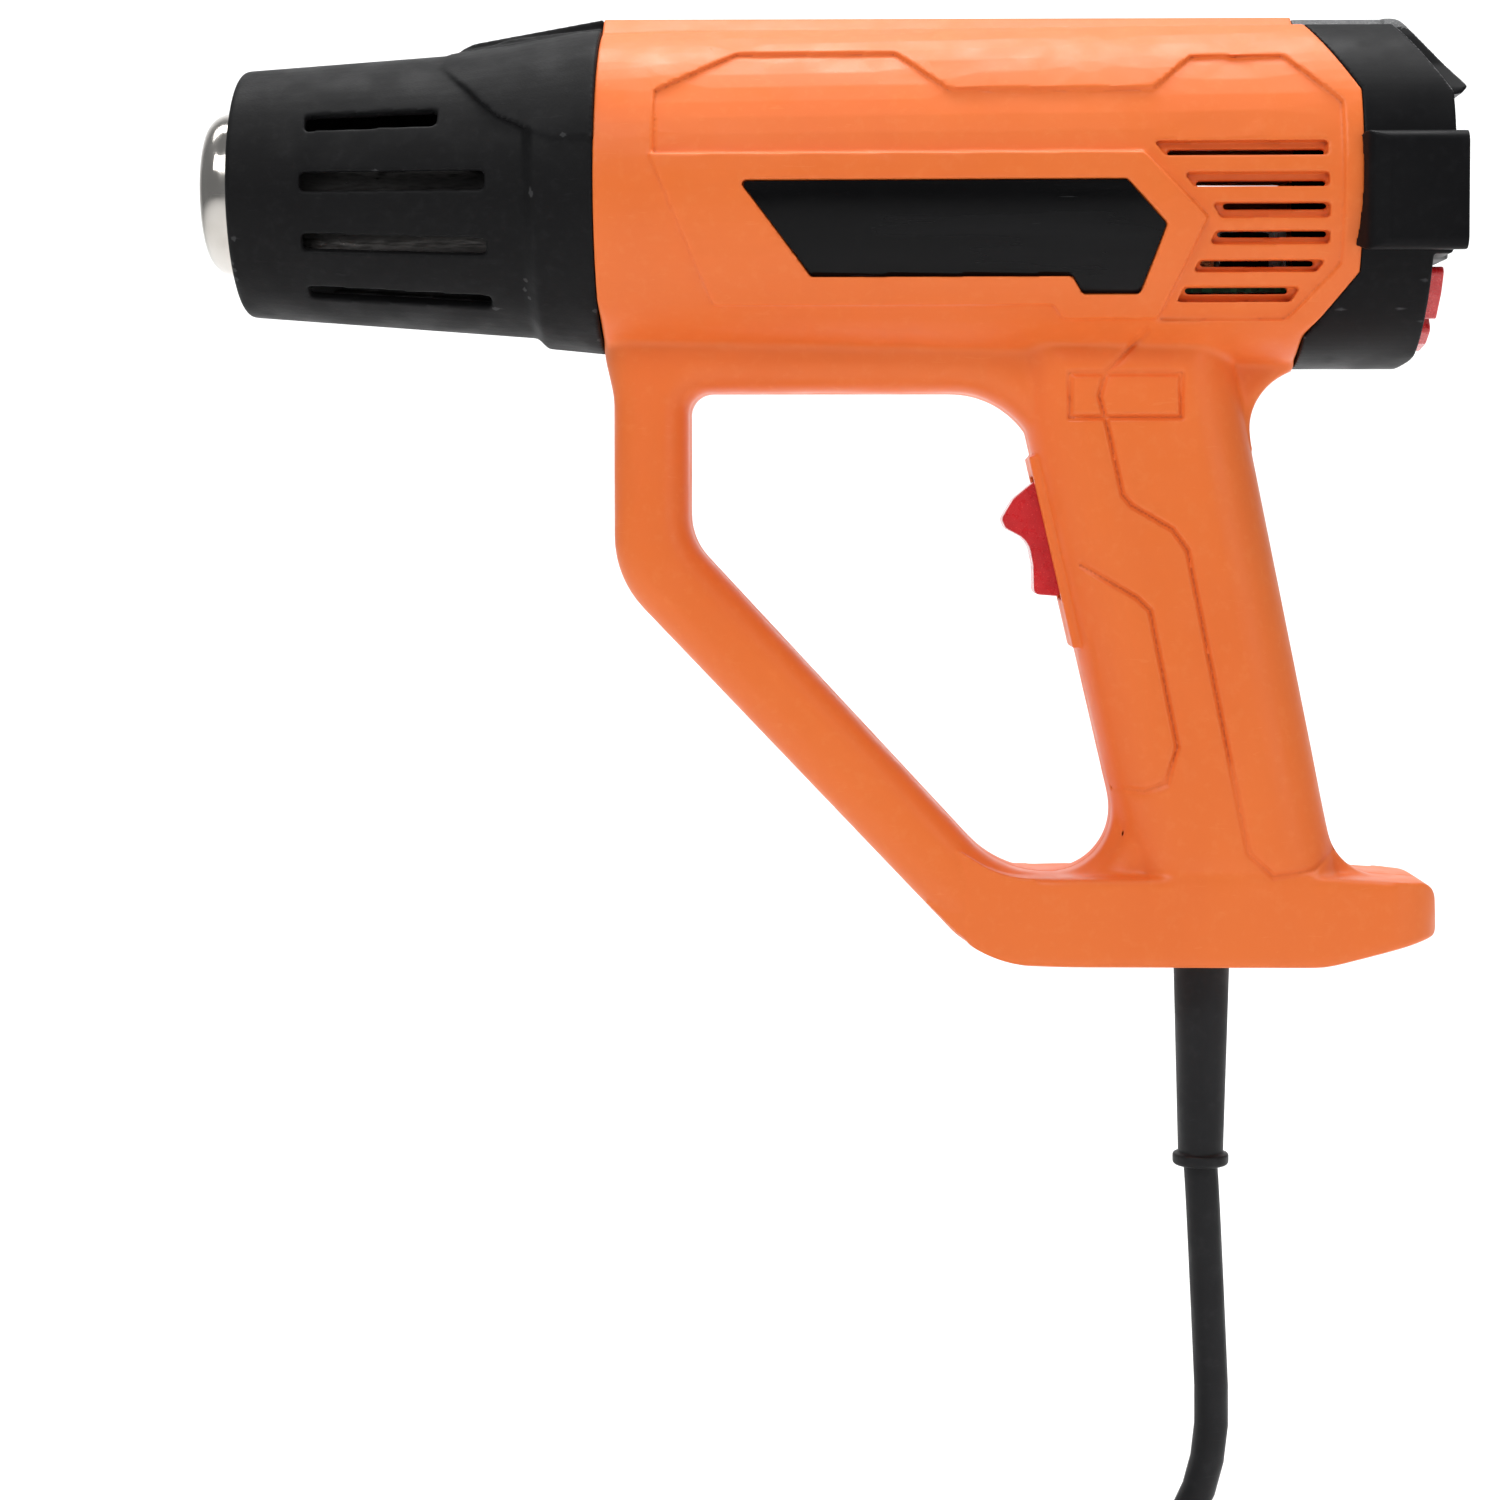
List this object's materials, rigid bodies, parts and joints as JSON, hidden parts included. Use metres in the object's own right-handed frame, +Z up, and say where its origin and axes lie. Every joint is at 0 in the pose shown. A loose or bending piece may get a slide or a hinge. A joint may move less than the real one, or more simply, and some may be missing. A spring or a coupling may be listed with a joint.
{
  "type": "heat gun",
  "caption": "Orange and black corded heat gun with a closed handle guard, a rocker switch and a rear display with red buttons.",
  "frame": {"origin": "centre of the hand grip, on the gun's middle plane", "axes": "+X along the barrel towards the rear display, +Y the gun's right side, +Z up; the nozzle points along -X"},
  "size_m": [0.2587, 0.1253, 0.3713],
  "materials": {
    "orange_housing": "satin",
    "black_plastic": "matt",
    "black_grain": "leather grain",
    "gloss_black": "gloss",
    "red_button": "gloss with a fine sparkle",
    "polished_steel": "polished",
    "brushed_steel": "brushed",
    "lcd_glass": "gloss",
    "nylon_white": "satin",
    "board_green": "satin",
    "mica": "satin",
    "ceramic": "matt",
    "heater_wire": "dull",
    "brass_pins": "satin",
    "copper": "satin",
    "aluminium": "satin",
    "cord_rubber": "matt",
    "silicone_grey": "matt"
  },
  "bodies": {
    "gun": {"housing_left": "orange_housing", "housing_right": "orange_housing", "housing_screws": "brushed_steel", "nameplate_left": "gloss_black", "nameplate_right": "gloss_black", "nose_shroud": "black_plastic", "nozzle_tube": "polished_steel", "mica_sleeve": "mica", "heater_former": "ceramic", "heating_coils": "heater_wire", "ceramic_seat": "ceramic", "thermocouple": "heater_wire", "fan_duct": "black_plastic", "air_funnel": "nylon_white", "motor_case": "brushed_steel", "motor_end_cap": "nylon_white", "motor_magnets": "heater_wire", "rear_cap": "black_plastic", "display_bezel": "gloss_black", "display_window": "lcd_glass", "lcd_panel": "lcd_glass", "lcd_backlight": "nylon_white", "display_board": "board_green", "keypad_board": "board_green", "button_mat": "silicone_grey", "tact_switches": "gloss_black", "side_bumper_right": "black_grain", "side_bumper_left": "black_grain", "rocker_pivot": "brushed_steel", "switch_body": "gloss_black", "switch_terminals": "brass_pins", "control_board": "board_green", "board_transformer": "copper", "board_capacitor": "gloss_black", "heat_sink": "aluminium", "triac": "gloss_black", "cord_inside": "cord_rubber", "cord_clamp": "nylon_white", "clamp_screws": "brushed_steel", "power_leads": "silicone_grey", "display_ribbon": "silicone_grey", "strain_relief": "cord_rubber", "cord_lead": "cord_rubber", "cord_coil": "cord_rubber", "cord_tail": "cord_rubber", "coil_tie": "gloss_black", "mains_plug": "cord_rubber", "plug_pins": "brass_pins"},
    "rocker": {"rocker_switch": "red_button"},
    "fan_up_key": {"button_fan_up": "red_button"},
    "fan_down_key": {"button_fan_down": "red_button"},
    "temp_up_key": {"button_temp_up": "red_button"},
    "temp_down_key": {"button_temp_down": "red_button"},
    "fan_rotor": {"fan_impeller": "nylon_white", "motor_shaft": "brushed_steel", "motor_rotor": "copper"}
  },
  "joints": [
    {"name": "rocker_tilt", "type": "hinge", "parent": "gun", "child": "rocker", "pos_m": [-0.0232, 0, 0.0187], "axis": [0, 1, 0], "range_deg": [0, 26]},
    {"name": "fan_up_press", "type": "slide", "parent": "gun", "child": "fan_up_key", "axis": [-1, 0, 0], "range_m": [0, 0.001], "stiffness_N_per_m": 300},
    {"name": "fan_down_press", "type": "slide", "parent": "gun", "child": "fan_down_key", "axis": [-1, 0, 0], "range_m": [0, 0.001], "stiffness_N_per_m": 300},
    {"name": "temp_up_press", "type": "slide", "parent": "gun", "child": "temp_up_key", "axis": [-1, 0, 0], "range_m": [0, 0.001], "stiffness_N_per_m": 300},
    {"name": "temp_down_press", "type": "slide", "parent": "gun", "child": "temp_down_key", "axis": [-1, 0, 0], "range_m": [0, 0.001], "stiffness_N_per_m": 300},
    {"name": "fan_spin", "type": "hinge", "parent": "gun", "child": "fan_rotor", "pos_m": [-0.074, 0, 0.0896], "axis": [1, 0, 0], "continuous": true}
  ]
}
